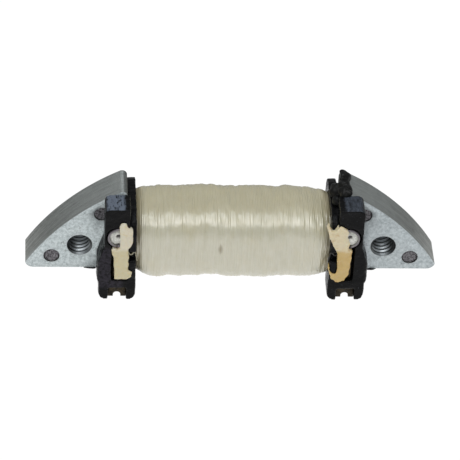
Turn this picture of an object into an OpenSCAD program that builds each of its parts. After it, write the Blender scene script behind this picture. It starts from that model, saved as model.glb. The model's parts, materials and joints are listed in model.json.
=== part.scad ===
// Generating coil of a small engine's flywheel magneto.
// X runs along the core, Y from the terminal side (negative) to the rear seat, Z towards the pole faces.
// The origin lies on the rear seating face, halfway between the two tapped holes.

/* [Core] */
// Overall length over the pole tips, before their corners are rounded
core_l = 100; // [98:0.5:102]
// Radius of the curved pole faces, which run inside the flywheel
pole_r = 58; // [57:0.5:60]
// Height from the centre of the curved faces up to the line of the tapped holes
arc_drop = 34.9; // [34:0.1:36]
// Thickness of one steel lamination
lam_t = 0.5; // [0.45:0.01:0.52]
// Number of laminations in the stack
lam_n = 17; // [15:1:17]
// Height of the core bar inside the bobbin
bar_h = 11; // [9:0.5:12]
// Distance from the hole line down to the flat underside of the poles
pole_below = 7; // [6.5:0.1:7.5]

/* [Tapped holes and rivets] */
// Distance between the two tapped holes
hole_spacing = 73.7; // [72.5:0.1:75]
// Drilled radius of the tapped holes
tap_r = 2.5; // [2.4:0.05:2.6]
// Radius of the front hole mouths after countersinking
mouth_r = 3.1; // [2.8:0.05:3.3]
// Radius of the core rivets
rivet_r = 1.95; // [1.6:0.05:2]

/* [Bobbin] */
// Distance from the middle to the inner face of a flange
flange_in = 23.4; // [22:0.1:23.5]
// Thickness of a flange
flange_t = 2.1; // [2:0.1:2.2]
// Half of the height and depth of a flange
flange_half = 10.5; // [10:0.1:11]
// Corner radius of a flange
flange_r = 5; // [4:0.5:6]
// Wall of the tube that the wire is wound on
tube_wall = 1.2; // [1:0.1:1.5]
// Height of the coil's axis above the hole line
coil_z = 1.4; // [1:0.1:2]
// Distance from the middle to the outer wall of a terminal block
block_out = 31.1; // [30.9:0.1:31.3]
// Top of the terminal blocks above the hole line
block_top = 15.7; // [15:0.1:15.8]
// How far the terminal blocks stand out in front of the core
block_proud = 6.1; // [5.8:0.1:6.2]
// Bottom of the terminal feet below the hole line
foot_below = 12; // [11.5:0.1:12.5]

/* [Coil] */
// Half of the height and depth of the wrapped coil at its middle
coil_half = 9.65; // [9.4:0.05:9.8]
// Corner radius of the wrapped coil
coil_r = 6.5; // [6:0.1:7]
// How much lower the coil is beside the flanges
coil_fall = 0.75; // [0.4:0.05:0.8]
// Thickness of the varnished thread wrapping
wrap_t = 0.8; // [0.6:0.1:0.9]
// Thickness of the insulating tape under it
tape_t = 0.3; // [0.2:0.05:0.4]

/* [Terminals] */
// Thickness of the brass strip
strip_t = 0.8; // [0.6:0.1:0.8]
// Radius of the ring under the soldered joint
ring_r = 2.5; // [2.4:0.1:2.6]
// Half of the width of the fork
fork_half = 2.2; // [2:0.1:2.3]
// Half of the width of the slot in the fork
slot_half = 0.9; // [0.7:0.1:1]
// Radius of the lead wires
lead_r = 0.25; // [0.15:0.05:0.25]

/* [Hidden] */
$fn = 64;
side_names = ["left", "right"];
function side_sign(side) = side == "left" ? -1 : 1;
function two_digits(i) = str(i < 10 ? "0" : "", i);
function lam_name(side, i) = str(side, "_lamination_", two_digits(i));

// Core, derived
stack_t = lam_n * lam_t;
mid_y = -stack_t / 2;
arc_z = -arc_drop;
pole_in = flange_in + flange_t + 0.1;
pole_out = core_l / 2;
pole_bottom = -pole_below;
heel_r = 1.2;
tip_r = 1.6;
toe_r = 2;
hole_x = hole_spacing / 2;
rivet_sink = 0.12;
outer_rivet = [hole_x + 6.75, -3.4];
inner_rivet = [hole_x - 5.25, 9.5];

// Bobbin, derived
flange_out = flange_in + flange_t;
bar_gap = 0.1;
tube_hy = stack_t / 2 + bar_gap + tube_wall;
tube_hz = bar_h / 2 + bar_gap + tube_wall;
tube_r = 2;
block_front = -stack_t - block_proud;
block_back = -stack_t - 0.1;
foot_bottom = -foot_below;
foot_in = flange_in - 0.1;
foot_out = block_out + 1.2;
boss_out = block_out + 1.65;
flare_top = 4.2;
flare_end = -1.2;
foot_top = -6.4;
block_r = 1.4;
foot_r = 1.8;

// Terminals, derived
strip_back = block_front + 2;
strip_front = strip_back - strip_t;
pad = [27.5, 7.1];
fork_x = 27.75;
fork_top = -8.5;
slot_top = -10.6;
strap_half = 1.2;
well_r = ring_r + 0.6;
solder_r = ring_r + 0.3;
solder_h = 1.5;
solder_ball_r = (solder_r * solder_r + solder_h * solder_h) / (2 * solder_h);
resin_front = block_front - 0.5;
channel_in = 25.2;
channel_out = 29.2;
channel_end = -6.1;

// Outlines of the two resin drops as [distance from the middle, height]
left_resin_line = [
    [27.5, 10.9], [27.1, 11.7], [26, 11.8], [25.5, 10.5], [24.4, 9.7], [24.2, 7.4], [24.5, 5.4],
    [25.3, 4], [25.2, -2.6], [24.3, -3.1], [24.5, -4.4], [25.4, -5.4], [28.6, -5.4], [28.5, -2.6],
    [28.9, 1.8], [29.5, 3.7], [28.9, 4.4], [28, 3.7], [27.3, 4.3], [27.5, 8]
];
right_resin_line = [
    [22.5, 11.6], [22.3, 10.5], [22.7, 8.2], [23.8, 5.5], [25.1, 2.6], [25.3, -2.3], [24.8, -3.4],
    [23.9, -3], [23.2, -0.9], [23.1, -2], [23.8, -4.7], [25, -6], [27.3, -5.6], [28.2, -3.6],
    [28.4, 0.2], [28.6, 3.7], [27.6, 4.4], [28.1, 6.2], [27.3, 8], [27.5, 9.4], [26.6, 10.5],
    [25.4, 11.3], [24.6, 10.2], [23.9, 9.6], [23, 9.9]
];
// Blobs of sealant at the right pole's heel as [centre, radius]
heel_blobs = [
    [[pole_in - 0.5, mid_y + 0.4, coil_z + flange_half + 1.6], 2],
    [[pole_in - 0.4, mid_y - 2.5, coil_z + flange_half + 0.8], 1.5]
];
heel_drops = [
    [[pole_in + 0.7, mid_y + 1.8, 16.2], 2],
    [[pole_in + 0.4, mid_y - 0.4, 15.7], 1.9],
    [[pole_in + 1.3, mid_y - 2, 15.4], 1.7]
];
// Bends of a lead wire, from the coil's end to the soldered ring
lead_points = [
    [flange_in - 0.3, strip_back - 0.85, -1], [flange_in + 0.4, strip_back - 1.2, 0.6],
    [flange_in + 1.3, strip_back - 1.7, 1.9], [flange_in + 2.3, strip_back - 1.5, 3.6],
    [flange_in + 3, strip_back - 1.2, 5.2]
];

// Turns an outline drawn in X and Z into a plate between two depths
module along_y(y0, y1) translate([0, y1, 0]) rotate([90, 0, 0]) linear_extrude(y1 - y0) children();

// Turns an outline drawn about the coil's axis in Y and Z into a bar between two lengths
module along_x(x0, x1) translate([x0, mid_y, coil_z]) rotate([90, 0, 90]) linear_extrude(x1 - x0) children();

// Draws a right-hand piece on the side that is asked for
module on_side(side) {
    if (side == "left") mirror([1, 0, 0]) children();
    else children();
}

module rounded_rect(hx, hy, r) {
    square([2 * hx, 2 * (hy - r)], center = true);
    square([2 * (hx - r), 2 * hy], center = true);
    for (sx = [-1, 1], sy = [-1, 1]) translate([sx * (hx - r), sy * (hy - r)]) circle(r = r);
}

// What a rounded corner takes off; quarter 0 is the upper right corner and the count goes anticlockwise
module corner_cut(x, z, quarter, r) translate([x, z]) rotate(90 * quarter) difference() {
    translate([-r, -r]) square(r + 1);
    translate([-r, -r]) circle(r = r);
}

// What a round takes off where the curved face meets an upright edge at x; side points into the steel
module arc_corner_cut(x, side, r) {
    centre = [x + side * r, arc_z + sqrt(pow(pole_r - r, 2) - pow(x + side * r, 2))];
    out = (centre - [0, arc_z]) / (pole_r - r);
    touch = centre + r * out;
    difference() {
        polygon([
            centre, [x, centre.y], [x - side, centre.y], [x - side, touch.y + 3], touch + 2 * out, touch
        ]);
        translate(centre) circle(r = r);
    }
}

module pole_outline() difference() {
    intersection() {
        translate([0, arc_z]) circle(r = pole_r, $fn = 180);
        translate([pole_in, pole_bottom]) square([pole_out - pole_in, core_l / 4]);
    }
    arc_corner_cut(pole_in, 1, heel_r);
    arc_corner_cut(pole_out, -1, tip_r);
    corner_cut(pole_out, pole_bottom, 3, toe_r);
}

module rivet_places() for (place = [outer_rivet, inner_rivet]) translate(place) children();

// One layer's plate: every second one on a side carries the bar that runs through the bobbin
module plate(long) difference() {
    union() {
        pole_outline();
        if (long) translate([-pole_in, coil_z - bar_h / 2]) square([2 * pole_in + 1, bar_h]);
    }
    translate([hole_x, 0]) circle(r = tap_r);
    rivet_places() circle(r = rivet_r);
}

// Countersink at the front hole mouth, as a cone that closes into the steel
module countersink() translate([hole_x, -stack_t, 0]) rotate([-90, 0, 0])
    cylinder(h = mouth_r - tap_r, r1 = mouth_r, r2 = tap_r);

module lamination(side, i) {
    long = (side == "left") == (i % 2 == 1);
    y1 = -stack_t + i * lam_t;
    color(i % 2 == 1 ? [0.74, 0.77, 0.79] : [0.68, 0.71, 0.73]) on_side(side) difference() {
        along_y(y1 - lam_t, y1) plate(long);
        if (i <= 2) countersink();
    }
}

module rivet(side, place) color([0.42, 0.38, 0.42]) on_side(side)
    translate([place.x, -rivet_sink, place.y]) rotate([90, 0, 0]) difference() {
        cylinder(h = stack_t - 2 * rivet_sink, r = rivet_r);
        translate([0, 0, stack_t - 2 * rivet_sink - 0.3]) cylinder(h = 0.6, r1 = 0.3, r2 = 1.5);
    }

// Front view of a terminal block, its flared boss and its foot
module block_outline() difference() {
    polygon([
        [foot_in, foot_bottom], [foot_out, foot_bottom], [foot_out, foot_top - 0.5], [boss_out, foot_top],
        [boss_out, flare_end], [block_out, flare_top], [block_out, block_top], [flange_out - 0.5, block_top],
        [flange_out - 0.5, coil_z - flange_half + 5], [foot_in, coil_z - flange_half + 3]
    ]);
    corner_cut(block_out, block_top, 0, block_r);
    corner_cut(foot_out, foot_bottom, 3, foot_r);
    corner_cut(foot_in, foot_bottom, 2, foot_r);
}

// Plan view of the same block, which rounds its upright front edges
module block_plan() difference() {
    translate([foot_in - 1, block_front]) square([boss_out - foot_in + 2, block_back - block_front]);
    corner_cut(boss_out, block_front, 3, 1);
}

module terminal_outline() difference() {
    union() {
        translate(pad) circle(r = ring_r);
        polygon([
            [fork_x - strap_half, fork_top - 0.8], [fork_x + strap_half, fork_top - 0.8],
            [pad.x + strap_half, pad.y - 1], [pad.x - strap_half, pad.y - 1]
        ]);
        difference() {
            translate([fork_x - fork_half, foot_bottom]) square([2 * fork_half, fork_top - foot_bottom]);
            corner_cut(fork_x + fork_half, fork_top, 0, 1.2);
            corner_cut(fork_x - fork_half, fork_top, 1, 1.2);
        }
    }
    translate(pad) circle(r = 0.7);
    translate([fork_x - slot_half, foot_bottom - 1])
        square([2 * slot_half, slot_top - slot_half - foot_bottom + 1]);
    translate([fork_x, slot_top - slot_half]) circle(r = slot_half);
}

module terminal_solid() along_y(strip_front, strip_back) terminal_outline();

// Well and channel that the ring and its strap lie in
module well_outline() {
    translate(pad) circle(r = well_r);
    translate([channel_in, channel_end]) square([channel_out - channel_in, pad.y - channel_end]);
}

module bobbin_end() difference() {
    union() {
        along_x(flange_in, flange_out) rounded_rect(flange_half, flange_half, flange_r);
        intersection() {
            along_y(block_front, block_back) block_outline();
            translate([0, 0, foot_bottom - 1]) linear_extrude(block_top - foot_bottom + 2) block_plan();
        }
    }
    along_y(block_front - 1, strip_back) well_outline();
    terminal_solid();
    along_y(block_front - 1, block_back + 1)
        translate([fork_x - fork_half, foot_bottom - 1]) square([2 * fork_half, fork_top - foot_bottom + 1]);
    along_y(block_front - 1, strip_back - 0.3) translate([flange_in - 1, 0]) square([3, 2.8]);
}

module bobbin() color([0.1, 0.1, 0.11]) difference() {
    union() {
        along_x(-flange_in - 0.5, flange_in + 0.5) rounded_rect(tube_hy, tube_hz, tube_r);
        for (side = side_names) on_side(side) bobbin_end();
    }
    along_x(-core_l / 2, core_l / 2)
        square([stack_t + 2 * bar_gap, bar_h + 2 * bar_gap], center = true);
}

// The coil's outside, drawn in by inset and stepping down towards the flanges
module coil_form(inset, extra) {
    steps = 5;
    level = 15.4;
    for (k = [0 : steps]) {
        reach = k == steps ? flange_in + extra : level + (flange_in - level) * sqrt(k / steps);
        half = coil_half - inset - coil_fall * pow(k / steps, 2);
        along_x(-reach, reach) rounded_rect(half, half, coil_r - inset);
    }
}

module thread_wrap() color([0.87, 0.85, 0.77]) difference() {
    coil_form(0, 0);
    coil_form(wrap_t, 1);
}

module winding_tape() color([0.85, 0.75, 0.35]) difference() {
    coil_form(wrap_t, 0);
    coil_form(wrap_t + tape_t, 1);
}

module exciter_winding() color([0.72, 0.4, 0.2]) difference() {
    coil_form(wrap_t + tape_t, 0);
    along_x(-flange_in - 1, flange_in + 1) rounded_rect(tube_hy, tube_hz, tube_r);
}

module terminal(side) color([0.72, 0.58, 0.3]) on_side(side) terminal_solid();

// Solder joint: a cap of a ball on the ring, with a dimple where the wire goes in
module solder_solid() intersection() {
    translate([pad.x, strip_front - solder_h + solder_ball_r, pad.y]) sphere(r = solder_ball_r, $fn = 96);
    along_y(strip_front - solder_h - 1, strip_front) translate(pad) circle(r = solder_r + 1);
}

module solder(side) color([0.75, 0.75, 0.76]) on_side(side) difference() {
    solder_solid();
    along_y(strip_front - solder_h - 1, strip_front - 0.6)
        translate([pad.x + 0.9, pad.y + 0.6]) circle(r = 0.45);
    lead_solid();
}

// A round wire between two points
module wire(a, b) {
    run = b - a;
    translate(a) rotate([0, acos(run.z / norm(run)), atan2(run.y, run.x)])
        cylinder(h = norm(run), r = lead_r, $fn = 24);
    translate(b) sphere(r = lead_r + 0.02, $fn = 24);
}

module lead_solid() for (k = [1 : len(lead_points) - 1]) wire(lead_points[k - 1], lead_points[k]);

module lead(side) color([0.75, 0.6, 0.35]) on_side(side) lead_solid();

module resin(side) color([0.86, 0.8, 0.62]) on_side(side) difference() {
    along_y(resin_front, strip_front) polygon(side == "left" ? left_resin_line : right_resin_line);
    bobbin_end();
    solder_solid();
    lead_solid();
}

// Black sealant squeezed out where a pole meets the bobbin
module foot_bead() intersection() {
    union() {
        translate([boss_out - 0.5, -stack_t + 0.5, pole_bottom]) rotate([0, 90, 0]) cylinder(h = 3, r = 0.7);
        translate([boss_out + 2.5, -stack_t + 0.5, pole_bottom]) sphere(r = 0.7);
    }
    translate([boss_out, -stack_t - 2, pole_bottom - 2]) cube([5, 4, 2]);
}

// Sealant that stands on the flange beside the pole's heel
module heel_bead() for (blob = heel_blobs) intersection() {
    translate(blob[0]) sphere(r = blob[1]);
    translate([0, -stack_t - 5, coil_z + flange_half]) cube([pole_in, stack_t + 10, 10]);
}

// Sealant that ran over the heel onto the curved face
module heel_drop() for (drop = heel_drops) difference() {
    translate(drop[0]) sphere(r = drop[1]);
    along_y(-stack_t - 1, 1) translate([0, arc_z]) circle(r = pole_r, $fn = 180);
    translate([0, -stack_t - 5, coil_z]) cube([pole_in, stack_t + 10, 20]);
}

module sealant(side) color([0.07, 0.07, 0.07]) on_side(side) {
    foot_bead();
    if (side == "right") {
        heel_bead();
        heel_drop();
    }
}

for (side = side_names) {
    for (i = [1 : lam_n]) {
        lamination(side, i);
    }
    rivet(side, outer_rivet);
    rivet(side, inner_rivet);
    terminal(side);
    solder(side);
    lead(side);
    resin(side);
    sealant(side);
}
bobbin();
exciter_winding();
winding_tape();
thread_wrap();
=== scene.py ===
"""Looks of the magneto generating coil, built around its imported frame.

Lengths are metres in the frame's own axes, unless a name or comment says millimetres.
"""

import json
import math

import bmesh
import bpy
from mathutils import Matrix, Vector, noise


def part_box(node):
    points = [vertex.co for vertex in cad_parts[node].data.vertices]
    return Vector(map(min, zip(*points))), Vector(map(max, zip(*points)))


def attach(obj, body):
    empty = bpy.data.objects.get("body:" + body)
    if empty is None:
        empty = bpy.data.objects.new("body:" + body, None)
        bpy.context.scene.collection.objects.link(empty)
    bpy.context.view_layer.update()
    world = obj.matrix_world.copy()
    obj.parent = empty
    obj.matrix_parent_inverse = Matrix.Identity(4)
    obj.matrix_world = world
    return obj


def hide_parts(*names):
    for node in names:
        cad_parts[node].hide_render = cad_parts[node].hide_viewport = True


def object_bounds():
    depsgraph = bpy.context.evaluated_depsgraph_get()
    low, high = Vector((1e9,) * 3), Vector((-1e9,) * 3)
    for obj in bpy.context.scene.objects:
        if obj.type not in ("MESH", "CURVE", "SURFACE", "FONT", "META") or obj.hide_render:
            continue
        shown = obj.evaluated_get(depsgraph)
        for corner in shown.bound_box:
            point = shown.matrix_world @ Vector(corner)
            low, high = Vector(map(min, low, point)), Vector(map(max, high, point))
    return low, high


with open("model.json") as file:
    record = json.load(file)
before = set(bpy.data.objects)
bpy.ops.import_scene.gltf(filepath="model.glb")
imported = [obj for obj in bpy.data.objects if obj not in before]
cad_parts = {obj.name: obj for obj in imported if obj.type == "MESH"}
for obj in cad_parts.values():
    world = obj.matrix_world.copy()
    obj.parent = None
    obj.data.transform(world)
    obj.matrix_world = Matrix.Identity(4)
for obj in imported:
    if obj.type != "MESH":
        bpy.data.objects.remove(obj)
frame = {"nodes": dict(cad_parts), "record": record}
cad_box = [list(corner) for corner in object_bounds()]

# --------------------------------------------------------------------------------------------------
# Measures, all taken from the frame
# --------------------------------------------------------------------------------------------------
MM = 0.001
SIDES = {"left": -1, "right": 1}
nodes = frame["nodes"]
mounts = {mount["name"]: mount for mount in frame["record"]["mounts"]}
screws = mounts["mounting_screws"]["dims"]
hole_x = screws["spacing_x_mm"] / 2 * MM
tap_r = screws["hole_r_mm"] * MM
plate_names = {side: sorted(n for n in nodes if n.startswith(side + "_lamination")) for side in SIDES}
core_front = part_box(plate_names["left"][0])[0].y
core_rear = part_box(plate_names["left"][-1])[1].y
wrap_low, wrap_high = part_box("thread_wrap")
coil_centre = (wrap_low + wrap_high) / 2
coil_half_length = (wrap_high.x - wrap_low.x) / 2
coil_half = (wrap_high.z - wrap_low.z) / 2
tape_half = (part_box("winding_tape")[1].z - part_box("winding_tape")[0].z) / 2
floor_z = cad_box[0][2]


# --------------------------------------------------------------------------------------------------
# Shader maths
# --------------------------------------------------------------------------------------------------
class Value:
    """A shader socket that holds a number; arithmetic on it adds Math nodes."""

    def __init__(self, finish, socket):
        self.finish = finish
        self.socket = socket

    def maths(self, operation, first, second, clamp=False):
        settings = {"operation": operation, "use_clamp": clamp}
        node = self.finish.add("ShaderNodeMath", settings, {0: first, 1: second})
        return Value(self.finish, node.outputs[0])

    def __add__(self, other):
        return self.maths("ADD", self, other)

    __radd__ = __add__

    def __sub__(self, other):
        return self.maths("SUBTRACT", self, other)

    def __rsub__(self, other):
        return self.maths("SUBTRACT", other, self)

    def __mul__(self, other):
        return self.maths("MULTIPLY", self, other)

    __rmul__ = __mul__

    def __truediv__(self, other):
        return self.maths("DIVIDE", self, other)

    def clamped(self):
        return self.maths("ADD", self, 0.0, clamp=True)

    def size(self):
        return self.maths("ABSOLUTE", self, 0.0)


class Finish:
    """A node material under construction; coordinates inside it are millimetres."""

    def __init__(self, name):
        self.material = bpy.data.materials.new(name)
        self.material.use_nodes = True
        self.tree = self.material.node_tree
        self.tree.nodes.clear()
        self.shader = self.add("ShaderNodeBsdfPrincipled")
        output = self.add("ShaderNodeOutputMaterial")
        self.tree.links.new(self.shader.outputs[0], output.inputs["Surface"])
        place = self.add("ShaderNodeTexCoord")
        in_mm = {0: place.outputs["Object"], "Scale": 1 / MM}
        scaled = self.add("ShaderNodeVectorMath", {"operation": "SCALE"}, in_mm)
        self.place = scaled.outputs[0]
        self.facing = place.outputs["Normal"]

    def add(self, kind, settings=None, inputs=None):
        """Adds a node, sets its settings first and then its sockets, from numbers, colours or links."""
        node = self.tree.nodes.new(kind)
        for name, value in (settings or {}).items():
            setattr(node, name, value)
        for key, value in (inputs or {}).items():
            self.set(node.inputs[key], value)
        return node

    def set(self, socket, value):
        if isinstance(value, Value):
            value = value.socket
        if isinstance(value, bpy.types.NodeSocket):
            self.tree.links.new(value, socket)
        else:
            socket.default_value = value

    def look(self, **inputs):
        """Sets the shader's sockets; an underscore stands for a space."""
        for name, value in inputs.items():
            self.set(self.shader.inputs[name.replace("_", " ")], value)

    def axis(self, vector, index):
        split = self.add("ShaderNodeSeparateXYZ", None, {0: vector})
        return Value(self, split.outputs[index])

    def stretched(self, scale, shift):
        """The place on the piece, scaled on each axis and moved."""
        mapping = self.add("ShaderNodeMapping", {"vector_type": "POINT"}, {"Vector": self.place})
        mapping.inputs["Scale"].default_value = scale
        mapping.inputs["Location"].default_value = shift
        return mapping.outputs[0]

    def cloud(self, scale, detail=3.0, rough=0.5, stretch=(1.0, 1.0, 1.0), shift=(0.0, 0.0, 0.0)):
        """Noise from 0 to 1, with scale in cells per millimetre."""
        vector = self.stretched(stretch, shift)
        inputs = {"Vector": vector, "Scale": scale, "Detail": detail, "Roughness": rough}
        return Value(self, self.add("ShaderNodeTexNoise", None, inputs).outputs[0])

    def step(self, value, low, high):
        """0 below low, 1 above high, and smooth between; low may be the larger."""
        inputs = {"Value": value, "From Min": low, "From Max": high}
        node = self.add("ShaderNodeMapRange", {"interpolation_type": "SMOOTHSTEP"}, inputs)
        return Value(self, node.outputs[0])

    def mix(self, factor, first, second):
        """Mixes two colours."""
        node = self.add("ShaderNodeMix", {"data_type": "RGBA", "blend_type": "MIX", "clamp_factor": True})
        self.set(node.inputs["Factor"], factor)
        for name, colour in (("A", first), ("B", second)):
            socket = next(s for s in node.inputs if s.name == name and s.type == "RGBA")
            self.set(socket, rgba(colour))
        return next(s for s in node.outputs if s.type == "RGBA")

    def bump(self, height, distance, strength=1.0):
        """A normal from a height from 0 to 1 that stands for a distance in metres."""
        inputs = {"Height": height, "Distance": distance, "Strength": strength}
        return self.add("ShaderNodeBump", None, inputs).outputs[0]


def rgba(colour):
    """A colour with its alpha, or a socket as it is."""
    return (*colour, 1.0) if isinstance(colour, tuple) and len(colour) == 3 else colour


def srgb(red, green, blue):
    """A linear colour from 0-255 screen values."""
    return tuple(
        ((c / 255 + 0.055) / 1.055) ** 2.4 if c > 10 else c / 255 / 12.92 for c in (red, green, blue)
    )


# --------------------------------------------------------------------------------------------------
# Materials
# --------------------------------------------------------------------------------------------------
def plate_steel():
    """Zinc-plated sheet on the flat faces, and ground steel on the edges of the plates.

    The right-hand faces are greyer, as painted shade, the upper parts of the curved faces lighter, as painted
    light, and the pole tips darker on the side towards the coil.
    """
    f = Finish("plate_steel")
    flat = f.step(f.axis(f.facing, 1).size(), 0.55, 0.85)
    spangle = f.cloud(1.3, 4.0, 0.66)
    grain = f.cloud(5.0, 2.0, 0.6)
    crystals = f.step(spangle * 0.65 + grain * 0.35, 0.34, 0.64)
    zinc = f.mix(crystals, srgb(165, 175, 176), srgb(214, 222, 223))
    pits = f.step(f.cloud(2.0, 2.0, 0.55, shift=(3.1, 7.7, 1.3)), 0.6, 0.66)
    pits = pits * f.step(f.cloud(0.3), 0.4, 0.6)
    # Painted shade: the right-hand faces are greyed.
    right = f.step(f.axis(f.place, 0), -1.0, 1.0)
    zinc = f.mix(right * 0.2, zinc, srgb(132, 136, 148))
    zinc = f.mix(pits * 0.55, zinc, srgb(112, 116, 116))
    streaks = f.cloud(0.9, 3.0, 0.6, stretch=(0.1, 3.2, 0.1))
    smears = f.cloud(0.5, 3.0, 0.55)
    marks = f.step(streaks * 0.75 + smears * 0.25, 0.36, 0.64)
    ground = f.mix(marks, srgb(120, 122, 118), srgb(160, 163, 160))
    rub = f.step(f.cloud(1.5, 3.0, 0.6, stretch=(0.6, 1.2, 0.6), shift=(9.0, 2.0, 5.0)), 0.64, 0.72)
    ground = f.mix(rub * 0.45, ground, srgb(78, 80, 80))
    # Painted light: ground faces that face upwards are lightened.
    ground = f.mix(f.step(f.axis(f.facing, 2), 0.6, 0.78) * 0.4, ground, srgb(186, 190, 188))
    inward = f.axis(f.facing, 0) * f.axis(f.place, 0) / f.axis(f.place, 0).size()
    ground = f.mix(f.step(inward, -0.05, -0.4) * 0.6, ground, srgb(84, 84, 82))
    f.look(
        Base_Color=f.mix(flat, ground, zinc),
        Metallic=0.55 + 0.35 * (1.0 - flat),
        Roughness=0.42 + 0.14 * grain,
        Normal=f.bump(spangle * 0.6 + grain * 0.4, 0.06 * MM, 0.7),
    )
    return f.material


def thread_steel():
    """Bright crests, with painted shade in the roots of the thread, at its front mouth, and on the upper side
    and the flanks of the hole.
    """
    f = Finish("thread_steel")
    shade = f.cloud(1.6, 3.0, 0.6)
    root = Value(f, f.add("ShaderNodeAttribute", {"attribute_name": "root"}).outputs["Fac"])
    crest = f.mix(shade, srgb(188, 197, 202), srgb(226, 232, 235))
    # Painted shade: the roots of the thread and the front mouth are darkened through the root attribute.
    tone = f.mix(f.step(root, 0.35, 0.8), crest, srgb(50, 54, 56))
    # Painted shade on the upper side and the flanks of the hole.
    painted_hole_shade = f.step(f.axis(f.facing, 2), 0.1, -0.9) * 0.75
    painted_hole_shade = painted_hole_shade + f.step(f.axis(f.facing, 0).size(), 0.3, 0.8) * 0.75
    f.look(
        Base_Color=f.mix(painted_hole_shade.clamped(), tone, srgb(58, 58, 54)),
        Metallic=0.9,
        Roughness=0.3 + 0.14 * shade,
        Normal=f.bump(f.cloud(6.0), 0.01 * MM, 0.5),
    )
    return f.material


def rivet_steel():
    f = Finish("rivet_steel")
    grain = f.cloud(3.2, 4.0, 0.7)
    f.look(
        Base_Color=f.mix(f.step(grain, 0.38, 0.62), srgb(56, 53, 56), srgb(142, 140, 144)),
        Metallic=0.7,
        Roughness=0.3 + 0.25 * grain,
        Normal=f.bump(grain, 0.25 * MM, 1.0),
    )
    return f.material


def bobbin_plastic():
    """Black moulded phenolic under uneven varnish.

    The block tops carry grey streaks, part dust and part painted reflection, more on the left, and the lower
    front of the left block is lightened as painted light.
    """
    f = Finish("bobbin_plastic")
    peel = f.cloud(1.3, 3.0, 0.55)
    dust = f.step(f.cloud(2.6, 2.0, 0.5, shift=(5.0, 1.0, 9.0)), 0.7, 0.78)
    # Painted light: the lower front of the left terminal block is lightened to purple-black.
    painted_light_face = f.step(f.axis(f.facing, 1), -0.6, -0.95) * f.step(f.axis(f.place, 0), -26.0, -27.0)
    painted_light_face = painted_light_face * f.step(f.axis(f.place, 2), -9.0, -7.5) * f.step(f.axis(f.place, 2), 5.0, 3.0)
    black = f.mix(peel, srgb(7, 7, 8), srgb(15, 15, 16))
    black = f.mix(painted_light_face * 0.5 * f.step(peel, 0.3, 0.6), black, srgb(64, 60, 70))
    black = f.mix(dust * 0.3, black, srgb(120, 124, 134))
    # Grey on the block tops: part dust film, part painted reflection, stronger on the left.
    on_top = f.step(f.axis(f.facing, 2), 0.55, 0.93) * f.step(f.axis(f.place, 2), 14.3, 15.1)
    on_top = on_top * f.step(f.axis(f.place, 0).size() + 1.2 * peel, 26.6, 27.4)
    streaks = f.cloud(0.9, 4.0, 0.65, stretch=(2.2, 0.8, 1.0), shift=(2.0, 4.0, 6.0))
    left = f.step(f.axis(f.place, 0), 0.0, -5.0)
    grey_streaks = f.step(streaks, 0.34, 0.52) * left + f.step(streaks, 0.2, 0.7) * (1.0 - left)
    dust_and_painted_reflection = on_top * grey_streaks * (0.42 + 0.46 * left)
    f.look(
        Base_Color=f.mix(dust_and_painted_reflection, black, srgb(106, 114, 127)),
        Roughness=0.16 + 0.22 * f.step(f.cloud(0.45, 3.0, 0.6), 0.3, 0.7),
        Normal=f.bump(peel, 0.16 * MM, 0.8),
    )
    f.look(Specular_IOR_Level=0.1)
    return f.material


def varnished_thread():
    """Cream thread laid side by side and soaked in clear varnish.

    It is yellower on top, browner beside the flanges and at one scorched spot on the front.
    """
    f = Finish("varnished_thread")
    turns = f.cloud(1.0, 3.0, 0.6, stretch=(2.3, 0.06, 0.06))
    fine = f.cloud(1.0, 2.0, 0.6, stretch=(5.0, 0.2, 0.2), shift=(4.0, 0.0, 2.0))
    stain = f.cloud(0.15, 3.0, 0.6)
    tone = f.mix(f.step(turns * 0.6 + fine * 0.4, 0.3, 0.7), srgb(181, 176, 146), srgb(194, 190, 167))
    above = f.step(f.axis(f.facing, 2), 0.55, 0.95)
    tone = f.mix(above * 0.55, tone, srgb(186, 174, 132))
    tone = f.mix(f.step(stain, 0.48, 0.72) * 0.4, tone, srgb(190, 180, 142))
    length = f.axis(f.place, 0).size()
    tone = f.mix(f.step(length + 1.2 * fine, 21.8, 23.8) * 0.6, tone, srgb(128, 114, 76))
    off_x = (f.axis(f.place, 0) + 3.1) / 0.65
    off_z = (f.axis(f.place, 2) - 3.3) / 1.8
    near_spot = f.step(off_x * off_x + off_z * off_z + 0.8 * fine, 1.5, 0.2)
    in_front = f.step(f.axis(f.place, 1), -8.0, -9.0)
    tone = f.mix(near_spot * in_front, tone, srgb(112, 96, 34))
    f.look(
        Base_Color=tone,
        Roughness=0.36 + 0.16 * fine,
        Coat_Weight=0.8 + 0.2 * f.step(f.cloud(0.5, 2.0, 0.5, shift=(0.0, 6.0, 0.0)), 0.3, 0.7),
        Normal=f.bump(fine * 0.4 + turns * 0.6, 0.07 * MM, 0.5),
    )
    f.look(Specular_IOR_Level=0.75, Coat_Roughness=0.36, Coat_IOR=2.4)
    f.look(Subsurface_Weight=0.1, Subsurface_Radius=(0.5, 0.4, 0.25), Subsurface_Scale=MM)
    return f.material


def drop_resin(name, pale, deep, ochre):
    """Cured resin, paler over the soldered ring and deeper along the strap below it."""
    f = Finish(name)
    height = f.axis(f.place, 2)
    mottle = f.cloud(0.9, 3.0, 0.6)
    tone = f.mix(f.step(height + 1.5 * mottle, 5.2, 3.6), pale, deep)
    tone = f.mix(f.step(mottle, 0.52, 0.7) * 0.5, tone, ochre)
    f.look(
        Base_Color=tone,
        Roughness=0.32 + 0.2 * f.cloud(1.4),
        Normal=f.bump(f.cloud(1.2, 3.0, 0.5, shift=(2.0, 2.0, 2.0)), 0.25 * MM, 0.5),
    )
    f.look(Subsurface_Weight=0.2, Subsurface_Radius=(1.0, 0.7, 0.4), Subsurface_Scale=MM)
    return f.material


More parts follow.
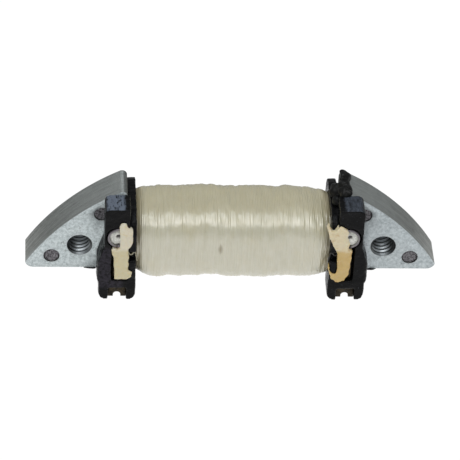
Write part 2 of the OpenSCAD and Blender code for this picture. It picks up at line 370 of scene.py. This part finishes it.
def tin_solder():
    f = Finish("tin_solder")
    grain = f.cloud(2.4, 3.0, 0.6)
    # The rim attribute darkens the rolled rim and the pits: painted shade.
    rim = Value(f, f.add("ShaderNodeAttribute", {"attribute_name": "rim"}).outputs["Fac"])
    bright = f.mix(f.step(grain, 0.35, 0.7), srgb(182, 183, 177), srgb(220, 220, 212))
    f.look(
        Base_Color=f.mix(rim, bright, srgb(122, 117, 121)),
        Metallic=0.45 + 0.3 * rim,
        Roughness=0.32 + 0.2 * grain,
        Normal=f.bump(grain, 0.06 * MM, 0.7),
    )
    return f.material


def strip_brass():
    f = Finish("strip_brass")
    tarnish = f.cloud(1.3, 4.0, 0.6)
    f.look(
        Base_Color=f.mix(f.step(tarnish, 0.35, 0.65), srgb(24, 21, 17), srgb(62, 54, 40)),
        Metallic=0.85,
        Roughness=0.3 + 0.25 * tarnish,
        Normal=f.bump(tarnish, 0.03 * MM, 0.6),
    )
    return f.material


def enamelled_copper(name, dark, light, dirt):
    """Enamelled wire; dirt is the colour of the flux and varnish on it at the right end."""
    f = Finish(name)
    shade = f.cloud(1.2, 2.0, 0.5)
    right = f.step(f.axis(f.place, 0), 0.0, 5.0)
    f.look(
        Base_Color=f.mix(right, f.mix(shade, dark, light), dirt),
        Metallic=0.5,
        Roughness=0.3 + 0.1 * shade,
        Coat_Weight=0.4 + 0.3 * shade,
        Normal=f.bump(shade, 0.02 * MM, 0.5),
    )
    return f.material


def polyester_tape():
    f = Finish("polyester_tape")
    laps = f.step(f.axis(f.place, 0).maths("PINGPONG", f.axis(f.place, 0), 4.5), 3.9, 4.4)
    f.look(
        Base_Color=f.mix(laps * 0.5, srgb(214, 176, 72), srgb(176, 134, 44)),
        Roughness=0.25 + 0.1 * f.cloud(0.8),
        Normal=f.bump(laps, 0.05 * MM, 0.6),
    )
    return f.material


def black_sealant():
    f = Finish("black_sealant")
    lumps = f.cloud(0.9, 4.0, 0.6)
    f.look(
        Base_Color=f.mix(lumps, srgb(8, 8, 8), srgb(19, 19, 17)),
        Roughness=0.3 + 0.22 * lumps,
        Normal=f.bump(lumps, 0.2 * MM, 0.7),
    )
    f.look(Specular_IOR_Level=0.2)
    return f.material


finishes = {
    "core_steel": plate_steel(),
    "thread_steel": thread_steel(),
    "rivet_steel": rivet_steel(),
    "bobbin_black": bobbin_plastic(),
    "winding_copper": enamelled_copper(
        "winding_copper", srgb(120, 58, 26), srgb(178, 94, 50), srgb(150, 76, 38)
    ),
    "tape_yellow": polyester_tape(),
    "thread_cream": varnished_thread(),
    "terminal_brass": strip_brass(),
    "solder_tin": tin_solder(),
    "lead_enamel": enamelled_copper(
        "lead_enamel", srgb(120, 116, 96), srgb(176, 170, 146), srgb(26, 22, 18)
    ),
    "resin_cream": drop_resin(
        "resin_cream", srgb(216, 208, 186), srgb(205, 195, 160), srgb(204, 186, 132)
    ),
    "resin_ochre": drop_resin(
        "resin_ochre", srgb(218, 205, 172), srgb(200, 172, 112), srgb(190, 154, 90)
    ),
    "sealant_black": black_sealant(),
}


# --------------------------------------------------------------------------------------------------
# Mesh helpers
# --------------------------------------------------------------------------------------------------
def new_piece(name, points, faces):
    mesh = bpy.data.meshes.new(name)
    mesh.from_pydata([tuple(p) for p in points], [], faces)
    mesh.validate()
    piece = bpy.data.objects.new(name, mesh)
    bpy.context.scene.collection.objects.link(piece)
    return piece


def tidy_mesh(piece, merge=0.002 * MM):
    """Merges doubles and turns every face outwards."""
    build = bmesh.new()
    build.from_mesh(piece.data)
    bmesh.ops.remove_doubles(build, verts=build.verts, dist=merge)
    bmesh.ops.recalc_face_normals(build, faces=build.faces)
    build.to_mesh(piece.data)
    build.free()


def cad_copy(node, name):
    """A copy of a CAD node with its points merged and its flat faces made whole."""
    build = bmesh.new()
    build.from_mesh(nodes[node].data)
    bmesh.ops.remove_doubles(build, verts=build.verts, dist=0.002 * MM)
    bmesh.ops.dissolve_limit(build, angle_limit=math.radians(0.6), verts=build.verts, edges=build.edges)
    bmesh.ops.recalc_face_normals(build, faces=build.faces)
    build.verts.ensure_lookup_table()
    points = [v.co.copy() for v in build.verts]
    faces = [[v.index for v in face.verts] for face in build.faces]
    build.free()
    return new_piece(name, points, faces)


def bake_modifiers(piece):
    """Turns the piece with its modifiers into a plain mesh."""
    bpy.context.view_layer.update()
    evaluated = piece.evaluated_get(bpy.context.evaluated_depsgraph_get())
    mesh = bpy.data.meshes.new_from_object(evaluated)
    piece.modifiers.clear()
    piece.data = mesh
    return piece


def bevel(piece, width, segments=2, angle=30):
    modifier = piece.modifiers.new("edges", "BEVEL")
    modifier.width = width
    modifier.segments = segments
    modifier.limit_method = "ANGLE"
    modifier.angle_limit = math.radians(angle)
    modifier.use_clamp_overlap = True
    return bake_modifiers(piece)


def soften(piece, voxel, passes):
    """Fuses a piece's shells and rounds them as a set liquid would."""
    remesh = piece.modifiers.new("fuse", "REMESH")
    remesh.mode = "VOXEL"
    remesh.voxel_size = voxel
    smooth = piece.modifiers.new("round", "SMOOTH")
    smooth.factor = 0.5
    smooth.iterations = passes
    return bake_modifiers(piece)


def shade(piece, angle):
    for polygon in piece.data.polygons:
        polygon.use_smooth = True
    piece.data.set_sharp_from_angle(angle=math.radians(angle))


def finish_piece(piece, slot, *replaced, finish=None, angle=35):
    """Gives a piece its material and its body, and hides the CAD nodes that it stands for."""
    piece.data.materials.clear()
    piece.data.materials.append(finishes[finish or slot])
    shade(piece, angle)
    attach(piece, "root")
    if replaced:
        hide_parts(*replaced)
    return piece


def lumpy(piece, height, scale, seed):
    """Moves each point along its normal by noise; scale is the size of a lump."""
    mesh = piece.data
    normals = [v.normal.copy() for v in mesh.vertices]
    for vertex, normal in zip(mesh.vertices, normals):
        vertex.co += normal * height * noise.noise(vertex.co / scale + Vector((seed, 2 * seed, 3 * seed)))
    mesh.update()


def lathe_y(name, profile, centre, steps=48):
    """Turns a profile of (radius, depth) pairs about an axis along Y."""
    points = []
    faces = []
    for radius, depth in profile:
        for k in range(steps):
            angle = 2 * math.pi * k / steps
            x = centre.x + radius * math.cos(angle)
            z = centre.z + radius * math.sin(angle)
            points.append((x, depth, z))
    for i in range(len(profile) - 1):
        for k in range(steps):
            k2 = (k + 1) % steps
            faces.append([i * steps + k, i * steps + k2, (i + 1) * steps + k2, (i + 1) * steps + k])
    piece = new_piece(name, points, faces)
    tidy_mesh(piece)
    return piece


def tube(name, line, radius, sides=10):
    """A round wire along a smooth curve through the points, with closed ends."""
    curve = bpy.data.curves.new(name, "CURVE")
    curve.dimensions = "3D"
    curve.bevel_depth = radius
    curve.bevel_resolution = sides // 4
    curve.use_fill_caps = True
    spline = curve.splines.new("BEZIER")
    spline.bezier_points.add(len(line) - 1)
    for knot, point in zip(spline.bezier_points, line):
        knot.co = point
        knot.handle_left_type = knot.handle_right_type = "AUTO"
    spline.resolution_u = 10
    source = bpy.data.objects.new(name + "_line", curve)
    bpy.context.scene.collection.objects.link(source)
    bpy.context.view_layer.update()
    mesh = bpy.data.meshes.new_from_object(source.evaluated_get(bpy.context.evaluated_depsgraph_get()))
    bpy.data.objects.remove(source)
    piece = bpy.data.objects.new(name, mesh)
    bpy.context.scene.collection.objects.link(piece)
    tidy_mesh(piece, merge=0.0005 * MM)
    return piece


# --------------------------------------------------------------------------------------------------
# Core
# --------------------------------------------------------------------------------------------------
THREAD_PITCH = 1.27 * MM
# Painted shade at the opened front mouth of a hole, from 0 for a crest of the thread to 1 for its root
MOUTH_SHADE = 0.62
thread_root_r = tap_r + 0.5 * MM
hole_mouth_r = tap_r + 0.6 * MM


def core_plate(node, side):
    """One lamination, with a fine burr edge and its hole opened to the root of the thread."""
    plate = cad_copy(node, node + "_plate")
    axis_x = SIDES[side] * hole_x
    for vertex in plate.data.vertices:
        across = vertex.co.x - axis_x
        radius = math.hypot(across, vertex.co.z)
        if radius < hole_mouth_r - 0.02 * MM:
            grow = (thread_root_r + 0.02 * MM) / radius
            vertex.co.x = axis_x + across * grow
            vertex.co.z *= grow
    bevel(plate, 0.035 * MM, 1, 40)
    return finish_piece(plate, "core_steel", node, angle=50)


def tapped_thread(side):
    """The thread of one hole: a sleeve whose inner wall follows the helix and opens out at both mouths."""
    steps = 72
    rows = 162
    length = core_rear - core_front
    axis_x = SIDES[side] * hole_x
    outer_r = thread_root_r + 0.02 * MM
    points = []
    faces = []

    def wall(depth, angle):
        turn = (depth - core_front) / THREAD_PITCH - angle / (2 * math.pi)
        ridge = 1 - abs(2 * (turn % 1) - 1)
        flank = min(1.0, max(0.0, (ridge - 0.1) / 0.75))
        cut = thread_root_r - (thread_root_r - tap_r) * flank
        edge = min(depth - core_front, core_rear - depth)
        return min(max(cut, hole_mouth_r - edge), outer_r)

    for i in range(rows + 1):
        depth = core_front + 0.03 * MM + (length - 0.06 * MM) * i / rows
        for k in range(steps):
            angle = 2 * math.pi * k / steps
            radius = wall(depth, angle)
            points.append((axis_x + radius * math.cos(angle), depth, radius * math.sin(angle)))
    for depth in (points[-1][1], points[0][1]):
        for k in range(steps):
            angle = 2 * math.pi * k / steps
            points.append((axis_x + outer_r * math.cos(angle), depth, outer_r * math.sin(angle)))
    total = rows + 3
    for i in range(total):
        below = (i + 1) % total
        for k in range(steps):
            k2 = (k + 1) % steps
            faces.append([i * steps + k, i * steps + k2, below * steps + k2, below * steps + k])
    sleeve = new_piece(side + "_tapped_thread", points, faces)
    tidy_mesh(sleeve, merge=0.0002 * MM)
    # The root attribute carries painted shade: the depth of the thread, and MOUTH_SHADE at the front mouth.
    root = sleeve.data.attributes.new("root", "FLOAT", "POINT")
    for vertex in sleeve.data.vertices:
        radius = math.hypot(vertex.co.x - axis_x, vertex.co.z)
        at_mouth = vertex.co.y < core_front + 0.6 * MM
        depth_share = (radius - tap_r) / (thread_root_r - tap_r)
        root.data[vertex.index].value = MOUTH_SHADE if at_mouth else depth_share
    return finish_piece(sleeve, "core_steel", finish="thread_steel", angle=60)


def core_rivet(node):
    """A rivet with both ends peened: a rolled rim, a shallow dish and hammer marks."""
    low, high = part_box(node)
    centre = (low + high) / 2
    radius = (high.x - low.x) / 2
    half = [
        (0.0, 0.16), (0.2, 0.15), (0.42, 0.06), (0.6, 0.0),
        (0.78, 0.02), (0.9, 0.1), (0.97, 0.22), (0.995, 0.4),
    ]
    front = [(share * radius, low.y + sink * MM) for share, sink in half]
    back = [(share * radius, high.y - sink * MM) for share, sink in reversed(half)]
    rivet = lathe_y(node + "_peened", front + back, centre)
    lumpy(rivet, 0.1 * MM, 0.8 * MM, centre.x / MM)
    return finish_piece(rivet, "rivet_steel", node)


for side in SIDES:
    for plate_node in plate_names[side]:
        core_plate(plate_node, side)
    tapped_thread(side)
    for where in ("outer", "inner"):
        core_rivet(f"{side}_{where}_rivet")


# --------------------------------------------------------------------------------------------------
# Bobbin and coil
# --------------------------------------------------------------------------------------------------
bobbin = cad_copy("bobbin", "moulded_bobbin")
soften(bobbin, 0.27 * MM, 5)
lumpy(bobbin, 0.12 * MM, 1.7 * MM, 4.0)
lumpy(bobbin, 0.05 * MM, 0.6 * MM, 8.0)
finish_piece(bobbin, "bobbin_black", "bobbin", angle=60)


def wrap_tree():
    """Geometry nodes for the thread wrapping: a barrel shell whose outside is ribbed turn by turn."""
    tree = bpy.data.node_groups.new("thread_wrapping", "GeometryNodeTree")
    interface = tree.interface
    interface.new_socket("Geometry", in_out="OUTPUT", socket_type="NodeSocketGeometry")
    kinds = {
        "Float": (
            "Half Length", "Half Size", "Inner Half", "End Fall", "Level Part", "Squareness",
            "Rib Height", "Lump Height", "Lump Size", "Seed",
        ),
        "Int": ("Turns", "Rows per Turn", "Steps Round"),
        "Vector": ("Centre",),
        "Material": ("Material",),
    }
    for kind, names in kinds.items():
        for name in names:
            interface.new_socket(name, in_out="INPUT", socket_type="NodeSocket" + kind)
    group_in = tree.nodes.new("NodeGroupInput")
    given = {s.name: s for s in group_in.outputs}

    def add(kind, settings=None, inputs=None):
        node = tree.nodes.new(kind)
        for key, value in (settings or {}).items():
            setattr(node, key, value)
        for key, value in (inputs or {}).items():
            if isinstance(value, bpy.types.NodeSocket):
                tree.links.new(value, node.inputs[key])
            else:
                node.inputs[key].default_value = value
        return node.outputs[0]

    def maths(operation, a, b=0.0):
        return add("ShaderNodeMath", {"operation": operation}, {0: a, 1: b})

    def plus(a, b):
        return maths("ADD", a, b)

    def minus(a, b):
        return maths("SUBTRACT", a, b)

    def times(a, b):
        return maths("MULTIPLY", a, b)

    def over(a, b):
        return maths("DIVIDE", a, b)

    def cloud(vector, scale, detail=2.0):
        inputs = {"Vector": vector, "Scale": scale, "Detail": detail, "Roughness": 0.5}
        return minus(add("ShaderNodeTexNoise", {"noise_dimensions": "3D"}, inputs), 0.5)

    rows = times(given["Turns"], given["Rows per Turn"])
    grid = add("GeometryNodeMeshGrid", None, {
        "Size X": plus(rows, 5.0), "Size Y": 1.0,
        "Vertices X": plus(rows, 6.0), "Vertices Y": plus(given["Steps Round"], 1.0),
    })
    position = add("GeometryNodeInputPosition")
    split = tree.nodes.new("ShaderNodeSeparateXYZ")
    tree.links.new(position, split.inputs[0])
    row = plus(split.outputs[0], over(plus(rows, 5.0), 2.0))
    angle = times(plus(split.outputs[1], 0.5), 2 * math.pi)

    # Row 0 starts on the inner wall, the next rows run along the outside,
    # and the last four come back inside
    along = add("ShaderNodeClamp", None, {"Value": over(minus(row, 1.0), rows), "Min": 0.0, "Max": 1.0})
    beyond = minus(row, plus(rows, 1.0))
    outside = minus(1.0, maths("GREATER_THAN", beyond, 0.5))
    x = times(times(minus(times(along, 2.0), 1.0), given["Half Length"]), outside)
    returns = ((1, given["Half Length"], 1), (2, given["Level Part"], 1), (3, given["Level Part"], -1),
               (4, given["Half Length"], -1))
    for count, length, sign in returns:
        is_row = maths("LESS_THAN", maths("ABSOLUTE", minus(beyond, float(count))), 0.5)
        x = plus(x, times(times(is_row, length), float(sign)))
    inner = maths("MAXIMUM", maths("LESS_THAN", row, 0.5), minus(1.0, outside))

    # A ring for noise that goes round without a seam, small so that lumps are drawn out along the turns
    ring = times(given["Half Size"], 0.4)
    circle = add("ShaderNodeCombineXYZ", None, {
        0: x, 1: times(maths("COSINE", angle), ring), 2: times(maths("SINE", angle), ring),
    })
    shift = add("ShaderNodeCombineXYZ", None, {0: given["Seed"], 1: 0.0, 2: 0.0})
    seeded = add("ShaderNodeVectorMath", {"operation": "ADD"}, {0: circle, 1: shift})
    lump_scale = over(1.0, given["Lump Size"])
    lumps = plus(cloud(seeded, lump_scale), times(cloud(seeded, times(lump_scale, 5.0)), 0.24))

    # Turns wander a little from square, so their count along the coil is bent by slow noise
    wander = cloud(seeded, times(lump_scale, 0.8), 1.0)
    turn = plus(times(along, given["Turns"]), times(wander, 2.4))
    whole = maths("FLOOR", turn)
    part = minus(turn, whole)
    own_number = plus(whole, given["Seed"])
    per_turn = add("ShaderNodeTexWhiteNoise", {"noise_dimensions": "1D"}, {"W": own_number})
    rib = maths("POWER", maths("SINE", times(part, math.pi)), 0.6)
    rib = times(times(rib, plus(times(per_turn, 0.9), 0.35)), given["Rib Height"])

    # The size falls away beyond the level part
    past = minus(maths("ABSOLUTE", x), given["Level Part"])
    end = maths("MAXIMUM", over(past, minus(given["Half Length"], given["Level Part"])), 0.0)
    fall = times(maths("POWER", end, 2.8), given["End Fall"])
    half = plus(plus(given["Half Size"], times(lumps, given["Lump Height"])), rib)
    half = plus(times(half, minus(1.0, inner)), times(given["Inner Half"], inner))
    half = minus(half, fall)

    # Rounded square: a superellipse of the given squareness
    power = given["Squareness"]
    cosine = maths("POWER", maths("ABSOLUTE", maths("COSINE", angle)), power)
    sine = maths("POWER", maths("ABSOLUTE", maths("SINE", angle)), power)
    reach = over(half, maths("POWER", plus(cosine, sine), over(1.0, power)))
    place = add("ShaderNodeCombineXYZ", None, {
        0: x, 1: times(reach, maths("COSINE", angle)), 2: times(reach, maths("SINE", angle)),
    })
    moved = add("ShaderNodeVectorMath", {"operation": "ADD"}, {0: place, 1: given["Centre"]})
    shaped = add("GeometryNodeSetPosition", None, {"Geometry": grid, "Position": moved})
    merged = add("GeometryNodeMergeByDistance", None, {"Geometry": shaped, "Distance": 0.0005 * MM})
    smooth = add("GeometryNodeSetShadeSmooth", None, {"Geometry": merged, "Shade Smooth": True})
    solid = add("GeometryNodeRealizeInstances", None, {"Geometry": smooth})
    coated = add("GeometryNodeSetMaterial", None, {"Geometry": solid, "Material": given["Material"]})
    group_out = tree.nodes.new("NodeGroupOutput")
    tree.links.new(coated, group_out.inputs[0])
    return tree


def grown(name, tree, values):
    """Runs a geometry-nodes tree with named inputs and keeps its result as a plain mesh."""
    piece = new_piece(name, [(0, 0, 0)], [])
    modifier = piece.modifiers.new("grow", "NODES")
    modifier.node_group = tree
    for item in tree.interface.items_tree:
        if item.item_type == "SOCKET" and item.in_out == "INPUT" and item.name in values:
            modifier[item.identifier] = values[item.name]
    return bake_modifiers(piece)


wrap = grown("thread_wrapping", wrap_tree(), {
    "Half Length": coil_half_length, "Half Size": coil_half + 0.02 * MM, "Inner Half": tape_half,
    "End Fall": 1.2 * MM, "Level Part": 15.5 * MM, "Squareness": 3.1,
    "Turns": 116, "Rows per Turn": 6, "Steps Round": 108,
    "Rib Height": 0.08 * MM, "Lump Height": 1.8 * MM, "Lump Size": 6 * MM,
    "Seed": 3.0, "Centre": coil_centre + Vector((0, -0.1, -0.1)) * MM, "Material": finishes["thread_cream"],
})
tidy_mesh(wrap, merge=0.0005 * MM)
finish_piece(wrap, "thread_cream", "thread_wrap", angle=180)

for hidden_node, slot in (("exciter_winding", "winding_copper"), ("winding_tape", "tape_yellow")):
    nodes[hidden_node].data.materials.clear()
    nodes[hidden_node].data.materials.append(finishes[slot])


# --------------------------------------------------------------------------------------------------
# Terminals, joints, resin and sealant
# --------------------------------------------------------------------------------------------------
def terminal(side):
    strip = cad_copy(f"{side}_terminal", f"{side}_brass_terminal")
    bevel(strip, 0.1 * MM, 2, 30)
    return finish_piece(strip, "terminal_brass", f"{side}_terminal")


def solder_joint(side):
    """A flat dome of solder inside the rolled rim of the ring, with three small pits in it."""
    low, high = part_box(f"{side}_solder")
    sign = SIDES[side]
    centre = (low + high) / 2
    radius = (high.x - low.x) / 2
    rim_y = high.y - 1.15 * MM
    profile = [(0.0, low.y)]
    for k in range(1, 15):
        share = k / 14
        profile.append((radius * 0.84 * share, low.y + 0.6 * MM * share ** 2.4))
    for angle in range(190, -20, -20):
        turn = math.radians(angle)
        profile.append((radius * 0.92 + 0.24 * MM * math.cos(turn), rim_y - 0.22 * MM * math.sin(turn)))
    profile += [(radius * 0.99, high.y), (0.0, high.y)]
    joint = lathe_y(f"{side}_solder_joint", profile, centre, 64)
    pits = (
        (Vector((0.3 * sign, 0, 0.7)) * MM, 0.5 * MM, 0.9 * MM),
        (Vector((0.2 * sign, 0, -2.2)) * MM, 0.5 * MM, 0.7 * MM),
        (Vector((-1.6 * sign, 0, 1.9)) * MM, 0.4 * MM, 0.5 * MM),
    )
    # The rim attribute is painted shade on the rolled rim and in the three pits.
    rim = joint.data.attributes.new("rim", "FLOAT", "POINT")
    for vertex in joint.data.vertices:
        out = math.hypot(vertex.co.x - centre.x, vertex.co.z - centre.z) / radius
        shade_share = min(1.0, max(0.0, (out - 0.8) / 0.08))
        if vertex.co.y < high.y - 0.1 * MM:
            for place, width, depth in pits:
                off = vertex.co - centre - place
                pit = math.exp(-((math.hypot(off.x, off.z) / width) ** 4))
                vertex.co.y += depth * pit
                shade_share = max(shade_share, pit)
        rim.data[vertex.index].value = shade_share
    lumpy(joint, 0.14 * MM, 1.1 * MM, 5.0 + sign)
    return finish_piece(joint, "solder_tin", f"{side}_solder")


def add_balls(piece, balls):
    """Adds balls, each a centre and a radius in millimetres, to a piece that is fused afterwards."""
    build = bmesh.new()
    build.from_mesh(piece.data)
    for centre, radius in balls:
        place = Matrix.Translation(Vector(centre) * MM)
        bmesh.ops.create_icosphere(build, subdivisions=3, radius=radius * MM, matrix=place)
    build.to_mesh(piece.data)
    build.free()


def from_cad_blob(node, name, slot, passes, lump, seed, balls=()):
    """A set drop: the CAD solid fused, rounded and made a little uneven."""
    blob = cad_copy(node, name)
    add_balls(blob, balls)
    soften(blob, DROP_VOXEL, passes)
    lumpy(blob, lump, 1.4 * MM, seed)
    tidy_mesh(blob)
    return finish_piece(blob, slot, node, angle=180)


def lead_wire(side):
    """The wire's last bend, from the notch in the flange up to the ring."""
    low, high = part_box(f"{side}_lead")
    sign = SIDES[side]
    near = low.x if sign > 0 else high.x
    bends = (
        (0.25, 0.2, 0.3), (0.5, 0.05, 1.8), (1.0, -0.3, 3.3),
        (1.7, -0.5, 2.7), (2.3, -0.55, 3.2), (2.9, -0.3, 4.6),
    )
    line = [
        Vector((near + sign * x * MM, high.y + (y - 0.25) * MM, low.z + z * MM)) for x, y, z in bends
    ]
    return finish_piece(tube(f"{side}_lead_wire", line, 0.2 * MM), "lead_enamel", f"{side}_lead")


# Runs of sealant along the heel of the right pole, as (centre, radius) in millimetres
sealant_runs = {
    "left": (),
    "right": (
        ((26.7, -3.0, 16.5), 1.3), ((26.4, -5.0, 16.2), 1.3), ((26.3, -7.2, 16.0), 1.3),
        ((26.4, -8.2, 15.8), 1.1), ((27.4, -8.1, 16.2), 0.9),
    ),
}
DROP_VOXEL = 0.13 * MM
for side, sign in SIDES.items():
    terminal(side)
    solder_joint(side)
    lead_wire(side)
    resin_slot = "resin_cream" if side == "left" else "resin_ochre"
    from_cad_blob(f"{side}_resin", f"{side}_resin_drop", resin_slot, 12, 0.3 * MM, 11.0 + sign)
    from_cad_blob(
        f"{side}_sealant", f"{side}_sealant_bead", "sealant_black", 8, 0.35 * MM, 17.0 + sign,
        sealant_runs[side],
    )


# --------------------------------------------------------------------------------------------------
# Stage: camera, lights and floor
# --------------------------------------------------------------------------------------------------
def set_camera():
    """A long lens from the front, above and slightly left, turned a little on its axis."""
    azimuth = math.radians(-4.88)
    elevation = math.radians(39.15)
    roll = math.radians(3.38)
    distance = 0.8
    target = coil_centre + Vector((-0.3 * MM, 0, 0))
    back = Vector((
        math.sin(azimuth) * math.cos(elevation), -math.cos(azimuth) * math.cos(elevation), math.sin(elevation)
    ))
    right = Vector((math.cos(azimuth), math.sin(azimuth), 0))
    up = back.cross(right)
    turned_right = right * math.cos(roll) + up * math.sin(roll)
    turned_up = up * math.cos(roll) - right * math.sin(roll)
    camera = bpy.data.objects.new("camera", bpy.data.cameras.new("camera"))
    camera.data.sensor_width = 36
    camera.data.lens = 257.6
    camera.data.clip_start = 0.01
    camera.matrix_world = Matrix.Translation(target + back * distance) @ Matrix(
        (turned_right, turned_up, back)
    ).transposed().to_4x4()
    bpy.context.scene.collection.objects.link(camera)
    bpy.context.scene.camera = camera


def area_light(name, place, size, power, colour=(1, 1, 1)):
    """A rectangular lamp that points at the origin."""
    lamp = bpy.data.lights.new(name, "AREA")
    lamp.shape = "RECTANGLE"
    lamp.size = size[0]
    lamp.size_y = size[1]
    lamp.energy = power
    lamp.color = colour
    holder = bpy.data.objects.new(name, lamp)
    holder.location = place
    holder.rotation_euler = Vector(place).to_track_quat("Z", "Y").to_euler()
    bpy.context.scene.collection.objects.link(holder)


def set_floor():
    """White paper that glows, so that it is white all over and lights the front of the coil from below.

    What lies behind the coil is only seen, and throws no light on its upper edges.
    """
    f = Finish("floor_paper")
    paper = f.mix(f.cloud(0.02), (0.02, 0.02, 0.02), (0.03, 0.03, 0.03))
    f.look(Base_Color=paper, Roughness=0.8 + 0.1 * f.cloud(0.05))
    f.look(Emission_Color=(1.0, 1.0, 1.0, 1.0), Emission_Strength=1.0)
    level = floor_z - 0.02 * MM
    edge = 0.03
    reach = 3.0
    for name, near_y, far_y in (("floor_front", -reach, edge), ("floor_back", edge, reach)):
        corners = [
            (-reach, near_y, level), (reach, near_y, level), (reach, far_y, level), (-reach, far_y, level)
        ]
        floor = new_piece(name, corners, [[0, 1, 2, 3]])
        floor.data.materials.append(f.material)
        floor.visible_glossy = floor.visible_diffuse = name == "floor_front"


def set_world(strength, colour):
    world = bpy.data.worlds.new("studio")
    world.use_nodes = True
    world.node_tree.nodes["Background"].inputs["Color"].default_value = rgba(colour)
    world.node_tree.nodes["Background"].inputs["Strength"].default_value = strength
    bpy.context.scene.world = world


set_camera()
set_floor()
set_world(0.36, (0.97, 0.99, 1.0))
bpy.context.scene.view_settings.view_transform = "Standard"
area_light("key", (-0.07, -0.27, 0.68), (0.75, 0.42), 2.6)
area_light("overhead", (0.0, 0.08, 0.7), (0.5, 0.16), 0.9, (0.86, 0.94, 1.0))
